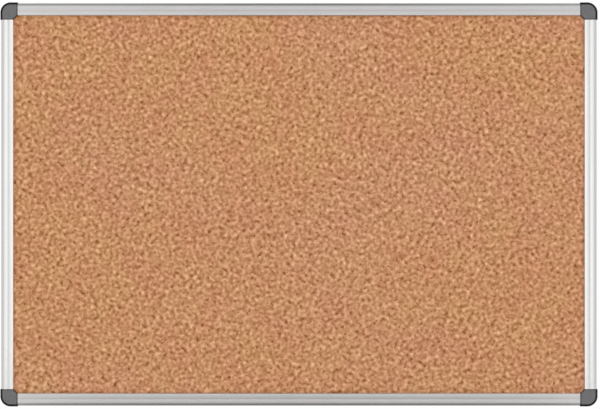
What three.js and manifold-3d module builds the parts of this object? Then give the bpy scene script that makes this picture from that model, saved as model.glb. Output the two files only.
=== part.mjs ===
// A wall-hung cork pin board in an extruded aluminium frame, with moulded corner fittings.
//
// Millimetres, +Z up. The origin is on the wall, behind the middle of the board: X runs to the
// right, and the cork faces -Y. The board is drawn lying on its back, in a flat frame with x to the
// right, y up the board and z out from the wall, and the last group stands it up.
//
// Each corner is drawn once, in a corner frame whose origin is the outer corner of the rails, with
// x and y running inwards along the two rails and z out from the wall. A rail's section is drawn
// with u inwards from its outer edge and v out from the wall.

import * as THREE from 'three';
import { mergeVertices } from 'three/addons/utils/BufferGeometryUtils.js';
import Module from 'manifold-3d';

const wasm = await Module();
wasm.setup();

// Overall size, over the corner covers
const boardWidth = 900;
const boardHeight = 609;

// Panel, from the wall outwards
const backingThickness = 0.8;
const coreThickness = 7.6;
const corkThickness = 2.4;
const glueFilm = 0.1;
const panelPlay = 0.15;
const panelEdgePlay = 0.3;
const panelChamfer = 8.5;

// Rail section
const railFace = 18.8;
const railWall = 1.3;
const edgeRound = 5;
const outerCrestShare = 0.33;
const valleyShare = 0.52;
const innerCrestShare = 0.755;
const valleyDip = 0.3;
const lipThickness = 1.6;
const lipRound = 1;
const lipLand = 0.92;
const beadWidth = 1.6;
const beadRound = 0.3;
const backLipSetback = 1.3;
const chamberWidth = 8;
const chamberCeiling = 2.1;
const grooveDepth = 2.4;

// Corner bracket
const blockMargin = 0.6;
const buttGap = 0.2;
const blockNose = 2;
const wallHoleAt = 10;
const wallHoleRadius = 3.2;
const headRecessRadius = 5.5;
const headSeatRadius = 4.9;
const headSeatDepth = 4.2;
const recessFloor = 6;
const socketAcross = 4;
const socketInset = 3;
const socketFloor = 4;
const tongueLength = 30;
const tongueFit = 0.15;
const tongueRoot = 1;
const tongueLead = 2.2;
const barbCount = 8;
const barbHeight = 0.35;
const tongueWall = 1.5;
const bossLength = 7.5;

// Screws that hold a bracket in its rails
const screwRadius = 1.4;
const screwHeadRadius = 3.1;
const screwHeadHeight = 1.9;
const screwLength = 8.5;
const screwPoint = 1.4;
const screwFit = 0.12;
const screwSeat = 0.05;
const railHoleFit = 0.4;

// Corner cover
const coverLap = 5.45;
const coverRadius = 15.6;
const coverWall = 1;
const coverPlate = 1.2;
const coverFit = 0.15;
const coverSeat = 0.2;
const rimRound = 4;
const innerRound = 1.4;
const skirtGap = 0.6;
const corkGap = 0.3;
const postRadius = 1.4;
const postFit = 0.12;
const postLength = 8;
const postPoint = 0.5;

// How far a cut runs past the faces that it opens
const overrun = 1;

// Facets
const arcSteps = 4;
const cornerSteps = 14;
const rimSteps = 5;
const roundSides = 20;
const screwSides = 16;

// Places that follow from the sizes above
const coverProud = coverWall + coverFit;
const frameWidth = boardWidth - 2 * coverProud;
const frameHeight = boardHeight - 2 * coverProud;

const backingBack = railWall + panelPlay;
const coreBack = backingBack + backingThickness + glueFilm;
const corkBack = coreBack + coreThickness + glueFilm;
const corkFront = corkBack + corkThickness;
const beadFoot = corkFront + panelPlay;

const outerCrest = outerCrestShare * railFace;
const valley = valleyShare * railFace;
const innerCrest = innerCrestShare * railFace;
const outerRib = ribRadius(valley - outerCrest, valleyDip);
const innerRib = ribRadius(valley - innerCrest, valleyDip);
const lipAngle = Math.acos((railFace - lipRound - innerCrest) / (innerRib - lipRound));
const lipDrop = innerRib - (innerRib - lipRound) * Math.sin(lipAngle);

const railDepth = beadFoot + beadRound + lipLand + lipDrop;
const webOuter = railWall + chamberWidth;
const webInner = webOuter + railWall;
const chamberFloor = grooveDepth + railWall;
const chamberTop = railDepth - chamberCeiling;
const panelInset = webInner + panelEdgePlay;
const blockSize = railFace + blockMargin;
const railEnd = blockSize + buttGap;

const coverLow = -coverProud;
const coverHigh = railEnd + coverLap;
const coverChamfer = coverHigh - railFace;
const coverCeiling = railDepth + coverSeat;
const coverTop = coverCeiling + coverPlate;
const cavityRound = rimRound - coverWall;

const blockRadius = coverRadius - coverProud;
const tongueEnd = blockSize + tongueLength;
const screwAlong = blockSize + tongueLength / 2;
const screwAcross = railWall + chamberWidth / 2;
const socketRadius = postRadius + postFit;
const socketAlong = blockSize - socketInset;

// The radius of a shallow rib that drops by `dip` over half its width
function ribRadius(halfWidth, dip) {
  return (halfWidth * halfWidth + dip * dip) / (2 * dip);
}

// A closed geometry as a solid: shared corners merged, faces with no area left out
function solid(geometry) {
  const bare = geometry.clone();
  bare.deleteAttribute('normal');
  bare.deleteAttribute('uv');
  const merged = mergeVertices(bare);
  const corners = merged.index.array;
  const faces = [];
  for (let i = 0; i < corners.length; i += 3) {
    const [a, b, c] = [corners[i], corners[i + 1], corners[i + 2]];
    if (a !== b && b !== c && c !== a) {
      faces.push(a, b, c);
    }
  }
  return new wasm.Manifold(new wasm.Mesh({
    numProp: 3,
    vertProperties: Float32Array.from(merged.attributes.position.array),
    triVerts: Uint32Array.from(faces),
  }));
}

function geometryOf(body) {
  const mesh = body.getMesh();
  const geometry = new THREE.BufferGeometry();
  geometry.setAttribute('position', new THREE.BufferAttribute(mesh.vertProperties, 3));
  geometry.setIndex(new THREE.BufferAttribute(mesh.triVerts, 1));
  return geometry;
}

// The same solid on the other rail of a corner: x and y change places
function acrossDiagonal(body) {
  const geometry = geometryOf(body);
  const { position } = geometry.attributes;
  for (let i = 0; i < position.count; i += 1) {
    position.setXY(i, position.getY(i), position.getX(i));
  }
  const corners = geometry.index.array;
  for (let i = 0; i < corners.length; i += 3) {
    [corners[i], corners[i + 1]] = [corners[i + 1], corners[i]];
  }
  return solid(geometry);
}

function onBothRails(body) {
  return body.add(acrossDiagonal(body));
}

// A flat outline given a thickness, from z = low to z = high
function plate(shape, low, high) {
  const settings = { depth: high - low, bevelEnabled: false, curveSegments: arcSteps };
  return new THREE.ExtrudeGeometry(shape, settings).translate(0, 0, low);
}

// A rail section run along x, with u on y and v on z
function runAlongRail(section, start, end) {
  const turn = new THREE.Matrix4().makeBasis(
    new THREE.Vector3(0, 1, 0),
    new THREE.Vector3(0, 0, 1),
    new THREE.Vector3(1, 0, 0),
  );
  return plate(section, start, end).applyMatrix4(turn);
}

// A profile of [radius, z] points turned about a line along z at (x, y)
function turned(profile, x, y, sides) {
  const points = profile.map(([radius, z]) => new THREE.Vector2(radius, z));
  return new THREE.LatheGeometry(points, sides).rotateX(Math.PI / 2).translate(x, y, 0);
}

function bore(radius, low, high, x, y, sides) {
  return turned([[0, low], [radius, low], [radius, high], [0, high]], x, y, sides);
}

function polygon(points) {
  return new THREE.Shape(points.map(([x, y]) => new THREE.Vector2(x, y)));
}

// Rings of points, all with the same count, skinned from the lowest to the highest and closed
function loft(rings) {
  const count = rings[0].points.length;
  const positions = [];
  for (const ring of rings) {
    for (const [x, y] of ring.points) {
      positions.push(x, y, ring.z);
    }
  }
  const faces = [];
  for (let level = 0; level + 1 < rings.length; level += 1) {
    for (let i = 0; i < count; i += 1) {
      const low = level * count + i;
      const next = level * count + ((i + 1) % count);
      faces.push(low, next, next + count);
      faces.push(low, next + count, low + count);
    }
  }
  const topStart = (rings.length - 1) * count;
  const lowCap = THREE.ShapeUtils.triangulateShape(polygon(rings[0].points).getPoints(), []);
  const topCap = THREE.ShapeUtils.triangulateShape(polygon(rings.at(-1).points).getPoints(), []);
  for (const [a, b, c] of lowCap) {
    faces.push(a, c, b);
  }
  for (const [a, b, c] of topCap) {
    faces.push(topStart + a, topStart + b, topStart + c);
  }
  const geometry = new THREE.BufferGeometry();
  geometry.setAttribute('position', new THREE.Float32BufferAttribute(positions, 3));
  geometry.setIndex(faces);
  return geometry;
}

// A corner's outline seen from the front, anticlockwise: square, with a large round at the outer
// corner and a cut corner inside. The outer sides are drawn in by `outer`, the inner by `inner`.
function cornerOutline(low, high, radius, chamfer, outer, inner) {
  const edge = low + outer;
  const end = high - inner;
  const cut = high - chamfer - inner * Math.tan(Math.PI / 8);
  const middle = low + radius;
  const points = [[end, edge], [end, cut], [cut, end], [edge, end]];
  for (let i = 0; i <= cornerSteps; i += 1) {
    const angle = Math.PI + (i / cornerSteps) * (Math.PI / 2);
    points.push([
      middle + (radius - outer) * Math.cos(angle),
      middle + (radius - outer) * Math.sin(angle),
    ]);
  }
  return points;
}

// How far a rounded edge of that radius has drawn in at a height below its top
function drawnIn(radius, below) {
  const rise = Math.max(radius - below, 0);
  return radius - Math.sqrt(radius * radius - rise * rise);
}

// A corner block from z = low to z = high whose front edges are rounded over
function cornerBody(low, high, size) {
  const levels = [low];
  for (let i = 0; i <= rimSteps; i += 1) {
    levels.push(high - size.outerRound * (1 - Math.sin((i / rimSteps) * (Math.PI / 2))));
  }
  return loft(levels.map((z) => ({
    z,
    points: cornerOutline(
      size.low,
      size.high,
      size.radius,
      size.chamfer,
      drawnIn(size.outerRound, high - z),
      drawnIn(size.innerRound, high - z),
    ),
  })));
}

// The rail's front, from the outer wall over two shallow ribs to the inner lip, drawn `out` proud
function drawRailFront(shape, out) {
  const outerMiddle = railDepth - outerRib;
  const innerMiddle = railDepth - innerRib;
  const outerEnd = Math.atan2(outerRib - valleyDip, valley - outerCrest);
  const innerStart = Math.atan2(innerRib - valleyDip, valley - innerCrest);
  const lipMiddle = railDepth - lipDrop;
  shape.absarc(edgeRound, railDepth - edgeRound, edgeRound + out, Math.PI, Math.PI / 2, true);
  shape.lineTo(outerCrest, railDepth + out);
  shape.absarc(outerCrest, outerMiddle + out, outerRib, Math.PI / 2, outerEnd, true);
  shape.absarc(innerCrest, innerMiddle + out, innerRib, innerStart, lipAngle, true);
  shape.absarc(railFace - lipRound, lipMiddle, lipRound + out, lipAngle, 0, true);
}

// The extrusion: a hollow chamber for the bracket's tongue, a groove behind it for the screw heads,
// and a channel that holds the panel between a back lip and a beaded front lip
function railSection() {
  const shape = new THREE.Shape();
  drawRailFront(shape, 0);
  shape.absarc(railFace - beadRound, beadFoot + beadRound, beadRound, 0, -Math.PI / 2, true);
  shape.lineTo(railFace - beadWidth, beadFoot);
  shape.lineTo(railFace - beadWidth, railDepth - lipThickness);
  shape.lineTo(webInner, railDepth - lipThickness);
  shape.lineTo(webInner, railWall);
  shape.absarc(railFace - backLipSetback, railWall / 2, railWall / 2, Math.PI / 2, -Math.PI / 2, true);
  shape.lineTo(webOuter, 0);
  shape.lineTo(webOuter, grooveDepth);
  shape.lineTo(railWall, grooveDepth);
  shape.lineTo(railWall, 0);
  shape.lineTo(0, 0);
  shape.holes.push(new THREE.Path(chamberOutline(0).getPoints(arcSteps).reverse()));
  return shape;
}

// The chamber, or what slides in it when it is drawn in by `play`
function chamberOutline(play) {
  const path = new THREE.Shape();
  const round = edgeRound - railWall;
  path.absarc(edgeRound, chamberTop - round, round - play, Math.PI, Math.PI / 2, true);
  path.lineTo(webOuter - play, chamberTop - play);
  path.lineTo(webOuter - play, chamberFloor + play);
  path.lineTo(railWall + play, chamberFloor + play);
  return path;
}

function rail(span) {
  const half = span / 2 - railEnd;
  let body = solid(runAlongRail(railSection(), -half, half));
  for (const side of [-1, 1]) {
    const place = side * (span / 2 - screwAlong);
    const radius = screwRadius + railHoleFit;
    const low = grooveDepth - overrun;
    const high = chamberFloor + overrun;
    body = body.subtract(solid(bore(radius, low, high, place, screwAcross, screwSides)));
  }
  return geometryOf(body);
}

// A sheet of the panel: it fills the channels of the four rails, and its corners are cut off to
// clear the screw recesses
function panelSheet(back, front) {
  const x = frameWidth / 2 - panelInset;
  const y = frameHeight / 2 - panelInset;
  const c = panelChamfer;
  return plate(polygon([
    [-x + c, -y], [x - c, -y], [x, -y + c], [x, y - c],
    [x - c, y], [-x + c, y], [-x, y - c], [-x, -y + c],
  ]), back, front);
}

// One tongue of a bracket: barbed along both sides against the chamber's walls, led in at its tip,
// and cored out from the front on each side of the boss that takes the screw
function tongue() {
  const near = railWall + tongueFit;
  const far = webOuter - tongueFit;
  const start = blockSize - tongueRoot;
  const pitch = (tongueLength - tongueLead - tongueRoot) / barbCount;
  const outline = [[start, near + barbHeight]];
  for (let i = 0; i < barbCount; i += 1) {
    const step = blockSize + tongueRoot + i * pitch;
    outline.push([step, near + barbHeight], [step, near]);
  }
  const shoulder = tongueEnd - tongueLead;
  outline.push([shoulder, near + barbHeight], [tongueEnd, near + tongueLead / 2]);
  const back = outline.map(([x, y]) => [x, near + far - y]).reverse();
  const low = chamberFloor + tongueFit;
  const high = chamberTop - tongueFit;
  const barbed = solid(plate(polygon([...outline, ...back]), low, high));
  let body = barbed.intersect(solid(runAlongRail(chamberOutline(tongueFit), start, tongueEnd)));

  const pocketLow = near + barbHeight + tongueWall;
  const pocketHigh = far - barbHeight - tongueWall;
  const boss = bossLength / 2;
  const pockets = [
    [blockSize + tongueWall, screwAlong - boss],
    [screwAlong + boss, shoulder - tongueWall],
  ];
  for (const [from, to] of pockets) {
    const pocket = polygon([
      [from, pocketLow], [to, pocketLow], [to, pocketHigh], [from, pocketHigh],
    ]);
    body = body.subtract(solid(plate(pocket, low + tongueWall, high + overrun)));
  }
  const pilot = screwRadius + screwFit;
  const pilotEnd = grooveDepth + screwLength + tongueFit;
  return body.subtract(solid(
    bore(pilot, low - overrun, pilotEnd, screwAlong, screwAcross, screwSides),
  ));
}

// The hidden corner bracket: a block that closes the corner of the frame, bored for a wall screw
// whose head sinks in a recess, with a notch that grips the panel's cut corner
function cornerBracket() {
  const block = solid(cornerBody(0, railDepth, {
    low: 0,
    high: blockSize,
    radius: blockRadius,
    chamfer: blockNose,
    outerRound: cavityRound,
    innerRound: 0,
  }));
  const wallScrew = solid(turned([
    [0, -overrun],
    [wallHoleRadius, -overrun],
    [wallHoleRadius, headSeatDepth],
    [headSeatRadius, recessFloor],
    [headRecessRadius, recessFloor],
    [headRecessRadius, railDepth + overrun],
    [0, railDepth + overrun],
  ], wallHoleAt, wallHoleAt, roundSides));
  const pocketLine = 2 * panelInset + panelChamfer - panelPlay * Math.SQRT2;
  const far = blockSize + overrun;
  const notch = polygon([[pocketLine - far, far], [far, pocketLine - far], [far, far]]);
  const panelNotch = solid(plate(notch, railWall, beadFoot));
  const socket = solid(bore(
    socketRadius, socketFloor, railDepth + overrun, socketAlong, socketAcross, screwSides,
  ));
  return geometryOf(
    block
      .subtract(panelNotch)
      .add(onBothRails(tongue()))
      .subtract(wallScrew)
      .subtract(onBothRails(socket)),
  );
}

// The visible corner cover: a shell with a rounded rim. Its end walls are cut to the rails'
// section, its inner wall drops between the lips to the cork, and two posts push into the bracket.
function cornerCover() {
  const shell = {
    low: coverLow,
    high: coverHigh,
    radius: coverRadius,
    chamfer: coverChamfer,
    outerRound: rimRound,
    innerRound,
  };
  const inside = {
    low: -coverFit,
    high: coverHigh - coverWall,
    radius: coverRadius - coverWall,
    chamfer: coverChamfer - coverWall * (2 - Math.SQRT2),
    outerRound: cavityRound,
    innerRound: 0,
  };
  const past = coverHigh + overrun;
  const railCut = new THREE.Shape();
  drawRailFront(railCut, coverFit);
  railCut.lineTo(railFace + coverFit, -overrun);
  railCut.lineTo(-coverFit, -overrun);
  const corkCut = polygon([
    [panelInset, panelInset], [past, panelInset], [past, past], [panelInset, past],
  ]);
  const post = turned([
    [0, coverCeiling - postLength],
    [postRadius - postPoint, coverCeiling - postLength],
    [postRadius, coverCeiling - postLength + postPoint],
    [postRadius, coverCeiling + coverPlate / 2],
    [0, coverCeiling + coverPlate / 2],
  ], socketAlong, socketAcross, screwSides);
  return geometryOf(
    solid(cornerBody(skirtGap, coverTop, shell))
      .subtract(solid(cornerBody(-overrun, coverCeiling, inside)))
      .subtract(onBothRails(solid(runAlongRail(railCut, railEnd, past))))
      .subtract(solid(plate(corkCut, -overrun, corkFront + corkGap)))
      .add(onBothRails(solid(post))),
  );
}

// A self-tapping pan-head screw, driven from the groove behind the rail into a tongue
function bracketScrew(along, across) {
  const seat = grooveDepth - screwSeat;
  const tip = grooveDepth + screwLength;
  return turned([
    [0, seat - screwHeadHeight],
    [screwHeadRadius / 2, seat - screwHeadHeight],
    [screwHeadRadius * Math.cos(Math.PI / 8), seat - screwHeadHeight / 2],
    [screwHeadRadius, seat],
    [screwRadius, seat],
    [screwRadius, tip - screwPoint],
    [0, tip],
  ], along, across, screwSides);
}

const finishes = {
  aluminium: { color: 0xcdcecb, roughness: 0.38, metalness: 1 },
  cover: { color: 0x707072, roughness: 0.5, metalness: 0 },
  bracket: { color: 0x4b4c4e, roughness: 0.6, metalness: 0 },
  steel: { color: 0xb9babb, roughness: 0.35, metalness: 1 },
  cork: { color: 0xc38d66, roughness: 0.92, metalness: 0 },
  core: { color: 0xa98a63, roughness: 0.95, metalness: 0 },
  backing: { color: 0x9d9488, roughness: 0.85, metalness: 0 },
};

function piece(name, geometry, finish) {
  const material = new THREE.MeshStandardMaterial({ ...finishes[finish], flatShading: true });
  const mesh = new THREE.Mesh(geometry, material);
  mesh.name = name;
  return mesh;
}

const flat = new THREE.Group();
flat.add(piece('backing_sheet', panelSheet(backingBack, backingBack + backingThickness), 'backing'));
flat.add(piece('core_board', panelSheet(coreBack, coreBack + coreThickness), 'core'));
flat.add(piece('cork_sheet', panelSheet(corkBack, corkFront), 'cork'));

// The four sides, anticlockwise from the bottom, each a quarter turn from the one before
const sides = ['bottom', 'right', 'top', 'left'];
const cornerNames = ['bottom_left', 'bottom_right', 'top_right', 'top_left'];
const bracketShape = cornerBracket();
const coverShape = cornerCover();

sides.forEach((side, turn) => {
  const angle = turn * (Math.PI / 2);
  const upright = turn % 2 === 1;
  const span = upright ? frameHeight : frameWidth;
  const reach = upright ? frameWidth : frameHeight;
  const frame = new THREE.Group();
  frame.rotation.z = angle;
  const railGroup = new THREE.Group();
  railGroup.position.set(0, -reach / 2, 0);
  railGroup.add(piece(`rail_${side}`, rail(span), 'aluminium'));
  frame.add(railGroup);

  const name = cornerNames[turn];
  const corner = new THREE.Group();
  corner.position.set(-span / 2, -reach / 2, 0);
  corner.add(piece(`corner_bracket_${name}`, bracketShape, 'bracket'));
  corner.add(piece(`corner_cover_${name}`, coverShape, 'cover'));
  const other = sides[(turn + sides.length - 1) % sides.length];
  const alongThis = bracketScrew(screwAlong, screwAcross);
  const alongOther = bracketScrew(screwAcross, screwAlong);
  corner.add(piece(`screw_${name}_${side}_rail`, alongThis, 'steel'));
  corner.add(piece(`screw_${name}_${other}_rail`, alongOther, 'steel'));
  frame.add(corner);
  flat.add(frame);
});

// Stand the board up: its height goes to +Z and its face to -Y
flat.rotation.x = Math.PI / 2;
const board = new THREE.Group();
board.add(flat);

export default board;
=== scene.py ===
# %% [markdown]
# # A cork pin board in an aluminium frame
# The board hangs flat on a wall. Four aluminium rails hold a panel of cork on soft fibreboard, and
# each corner is closed by a hidden bracket with a moulded cover pushed over it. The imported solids
# come first and stay where they are: every piece made below is measured from them, rides on one of
# their bodies, and only adds the shape and finish that the eye looks for.

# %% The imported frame
import math

import bmesh
import bpy
import numpy as np
from mathutils import Matrix, Vector, noise


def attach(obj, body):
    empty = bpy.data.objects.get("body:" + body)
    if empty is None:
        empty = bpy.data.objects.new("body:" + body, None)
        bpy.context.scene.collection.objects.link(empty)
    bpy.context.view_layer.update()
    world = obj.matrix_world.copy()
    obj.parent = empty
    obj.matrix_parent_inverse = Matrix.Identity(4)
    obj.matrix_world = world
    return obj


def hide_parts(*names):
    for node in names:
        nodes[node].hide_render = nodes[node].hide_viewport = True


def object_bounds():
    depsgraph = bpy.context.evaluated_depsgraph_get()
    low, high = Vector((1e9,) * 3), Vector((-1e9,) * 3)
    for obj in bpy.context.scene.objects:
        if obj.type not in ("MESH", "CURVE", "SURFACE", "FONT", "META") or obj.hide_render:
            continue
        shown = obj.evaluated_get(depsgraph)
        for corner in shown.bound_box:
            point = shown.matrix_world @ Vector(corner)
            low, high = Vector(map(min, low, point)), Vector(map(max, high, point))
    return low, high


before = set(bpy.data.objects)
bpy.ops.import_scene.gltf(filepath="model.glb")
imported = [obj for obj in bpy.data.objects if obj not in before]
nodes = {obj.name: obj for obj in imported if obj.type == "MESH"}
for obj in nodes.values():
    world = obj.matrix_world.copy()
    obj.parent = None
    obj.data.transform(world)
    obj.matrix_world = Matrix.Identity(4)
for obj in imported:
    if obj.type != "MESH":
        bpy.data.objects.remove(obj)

cad_box = [list(corner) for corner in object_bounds()]

# %% [markdown]
# ## Sizes
# Everything is drawn in millimetres in a flat frame, as if the board lay on its back: x to the
# right, y up the board, z out from the wall. One matrix then stands it up and turns it to metres.
# A rail's section is drawn inwards from its outer edge, and a corner piece inwards from the
# frame's outer corner along both rails. The numbers are those of the solids, so that a finer copy
# of a piece fits exactly over it.

# %% The sizes of the panel and of a rail's section
MM = 0.001  # metres
BACKING_THICKNESS, CORE_THICKNESS, CORK_THICKNESS, GLUE_FILM = 0.8, 7.6, 2.4, 0.1
PANEL_PLAY, PANEL_EDGE_PLAY, PANEL_CHAMFER = 0.15, 0.3, 8.5

# The rail's ribbed front, the lip and the bead that hold the panel, and the hollows behind
RAIL_FACE, RAIL_WALL, EDGE_ROUND = 18.8, 1.3, 5.0
OUTER_CREST, VALLEY, INNER_CREST = 0.33 * RAIL_FACE, 0.52 * RAIL_FACE, 0.755 * RAIL_FACE
VALLEY_DIP, LIP_THICKNESS, LIP_ROUND, LIP_LAND = 0.3, 1.6, 1.0, 0.92
BEAD_WIDTH, BEAD_ROUND, BACK_LIP_SETBACK = 1.6, 0.3, 1.3
GROOVE_DEPTH, CHAMBER_WIDTH, CHAMBER_CEILING = 2.4, 8.0, 2.1

# Depths from the wall, layer by layer
BACKING_BACK = RAIL_WALL + PANEL_PLAY
CORE_BACK = BACKING_BACK + BACKING_THICKNESS + GLUE_FILM
CORK_BACK = CORE_BACK + CORE_THICKNESS + GLUE_FILM
CORK_FRONT = CORK_BACK + CORK_THICKNESS
BEAD_FOOT = CORK_FRONT + PANEL_PLAY


def rib_radius(half_width, dip):
    """The radius of an arc that falls by `dip` over half its width."""
    return (half_width * half_width + dip * dip) / (2 * dip)


OUTER_RIB = rib_radius(VALLEY - OUTER_CREST, VALLEY_DIP)
INNER_RIB = rib_radius(VALLEY - INNER_CREST, VALLEY_DIP)
LIP_ANGLE = math.acos((RAIL_FACE - LIP_ROUND - INNER_CREST) / (INNER_RIB - LIP_ROUND))
LIP_DROP = INNER_RIB - (INNER_RIB - LIP_ROUND) * math.sin(LIP_ANGLE)
RAIL_DEPTH = BEAD_FOOT + BEAD_ROUND + LIP_LAND + LIP_DROP
WEB_OUTER = RAIL_WALL + CHAMBER_WIDTH
WEB_INNER = WEB_OUTER + RAIL_WALL
CHAMBER_FLOOR, CHAMBER_TOP = GROOVE_DEPTH + RAIL_WALL, RAIL_DEPTH - CHAMBER_CEILING
PANEL_INSET = WEB_INNER + PANEL_EDGE_PLAY
print("rail", RAIL_FACE, "x", round(RAIL_DEPTH, 2), "mm, cork at", round(CORK_FRONT, 2))

# %% The sizes of the board, its corner fittings and its screws
BOARD_WIDTH, BOARD_HEIGHT = 900.0, 609.0
BLOCK_MARGIN, BUTT_GAP, TONGUE_LENGTH = 0.6, 0.2, 30.0
BLOCK_SIZE = RAIL_FACE + BLOCK_MARGIN
RAIL_END = BLOCK_SIZE + BUTT_GAP

COVER_WALL, COVER_FIT, COVER_PLATE, COVER_SEAT, COVER_LAP = 1.0, 0.15, 1.2, 0.2, 5.45
COVER_RADIUS, RIM_ROUND, INNER_ROUND, SKIRT_GAP, CORK_GAP = 15.6, 4.0, 1.4, 0.6, 0.3
COVER_PROUD = COVER_WALL + COVER_FIT
COVER_LOW, COVER_HIGH = -COVER_PROUD, RAIL_END + COVER_LAP
COVER_CHAMFER = COVER_HIGH - RAIL_FACE
COVER_CEILING = RAIL_DEPTH + COVER_SEAT
COVER_TOP = COVER_CEILING + COVER_PLATE
CAVITY_ROUND = RIM_ROUND - COVER_WALL
FRAME_WIDTH, FRAME_HEIGHT = BOARD_WIDTH - 2 * COVER_PROUD, BOARD_HEIGHT - 2 * COVER_PROUD

SCREW_RADIUS, SCREW_HEAD_RADIUS, SCREW_HEAD_HEIGHT, SCREW_LENGTH = 1.4, 3.1, 1.9, 8.5
SCREW_ALONG, SCREW_ACROSS = BLOCK_SIZE + TONGUE_LENGTH / 2, RAIL_WALL + CHAMBER_WIDTH / 2

print("cover", round(COVER_HIGH - COVER_LOW, 2), "mm square, front at", round(COVER_TOP, 2))

# %% The matrices that stand the board up and carry a piece to its side or its corner
SIDES = ["bottom", "right", "top", "left"]  # a quarter turn from each to the next
CORNERS = ["bottom_left", "bottom_right", "top_right", "top_left"]
STAND = Matrix.Rotation(math.pi / 2, 4, "X") @ Matrix.Scale(MM, 4)


def span_and_reach(turn):
    """How long the frame is along a side, and how far it reaches across it."""
    upright = turn % 2 == 1
    return (FRAME_HEIGHT, FRAME_WIDTH) if upright else (FRAME_WIDTH, FRAME_HEIGHT)


def quarter_turns(turn, x, y):
    """Moves a flat piece by x and y, turns it about the board's middle and stands it up."""
    return STAND @ Matrix.Rotation(turn * math.pi / 2, 4, "Z") @ Matrix.Translation((x, y, 0))


def to_rail(turn):
    """From a rail drawn along x about its middle to its side, a quarter turn for each one."""
    return quarter_turns(turn, 0, -span_and_reach(turn)[1] / 2)


def to_corner(turn):
    """From a piece drawn about the frame's outer corner to that corner of the board."""
    span, reach = span_and_reach(turn)
    return quarter_turns(turn, -span / 2, -reach / 2)


print("a corner stands at", [round(v, 4) for v in to_corner(0).translation])

# %% [markdown]
# ## A way to write node graphs as sums
# Shader and geometry graphs are hard to read as lists of nodes and links. A small class wraps a
# socket, and its operators add the Math node that does the sum, so that a pattern can be written
# as an expression. Any other node comes from one method, which takes the node's type, its
# settings and what goes into its sockets.

# %% A wrapped socket
class Value:
    """A number that varies over a surface. Sums with it add Math nodes."""

    def __init__(self, graph, socket):
        self.graph = graph
        self.socket = socket

    def __add__(self, other):
        return self.graph.maths("ADD", self, other)

    def __radd__(self, other):
        return self.graph.maths("ADD", other, self)

    def __sub__(self, other):
        return self.graph.maths("SUBTRACT", self, other)

    def __rsub__(self, other):
        return self.graph.maths("SUBTRACT", other, self)

    def __mul__(self, other):
        return self.graph.maths("MULTIPLY", self, other)

    def __rmul__(self, other):
        return self.graph.maths("MULTIPLY", other, self)

    def __abs__(self):
        return self.graph.maths("ABSOLUTE", self)


print("a value can be added, subtracted, multiplied and made positive")

# %% The graph that it belongs to
# Mix and Random Value hold sockets of one name for each kind of data, so these go by number.
MIX_FACTOR, MIX_A, MIX_B, MIX_RESULT = 0, 6, 7, 2
RANDOM_LOW, RANDOM_HIGH, RANDOM_RESULT = 2, 3, 1


class Graph:
    """A node tree. Its method `node` adds any node: type, settings, then socket values."""

    def __init__(self, tree):
        self.tree = tree

    def node(self, kind, settings=None, inputs=None, output=0):
        """Gives one output of the new node. A list goes into a socket that takes several links."""
        made = self.tree.nodes.new(kind)
        for name, value in (settings or {}).items():
            if name == "stops":
                while len(made.color_ramp.elements) < len(value):
                    made.color_ramp.elements.new(0.5)
                for element, (position, colour) in zip(made.color_ramp.elements, value):
                    element.position = position
                    element.color = colour
            else:
                setattr(made, name, value)
        for name, given in (inputs or {}).items():
            for value in given if isinstance(given, list) else [given]:
                if isinstance(value, Value):
                    self.tree.links.new(value.socket, made.inputs[name])
                else:
                    made.inputs[name].default_value = value
        return made if output is None else Value(self, made.outputs[output])

    def maths(self, operation, *values):
        return self.node("ShaderNodeMath", {"operation": operation}, dict(enumerate(values)))

    def vectors(self, operation, a, b):
        other = "Scale" if operation == "SCALE" else 1
        return self.node("ShaderNodeVectorMath", {"operation": operation}, {0: a, other: b})

    def ramp(self, value, low, high):
        """The value carried smoothly from low..high to 0..1, and held outside that."""
        return self.node("ShaderNodeMapRange", {"interpolation_type": "SMOOTHSTEP"}, {
            "Value": value, "From Min": low, "From Max": high})

    def mix(self, factor, a, b, blend="MIX"):
        return self.node("ShaderNodeMix", {"data_type": "RGBA", "blend_type": blend}, {
            MIX_FACTOR: factor, MIX_A: a, MIX_B: b}, MIX_RESULT)


print("a graph adds nodes, sums, ramps and mixes")

# %% [markdown]
# ## Finishes
# Each finish is a material with one Principled BSDF. Patterns are measured in millimetres from
# Object coordinates, because every piece sits at the origin with its place in its mesh: the grain
# then stays on the piece when it moves, and neighbouring pieces never repeat each other.

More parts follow.
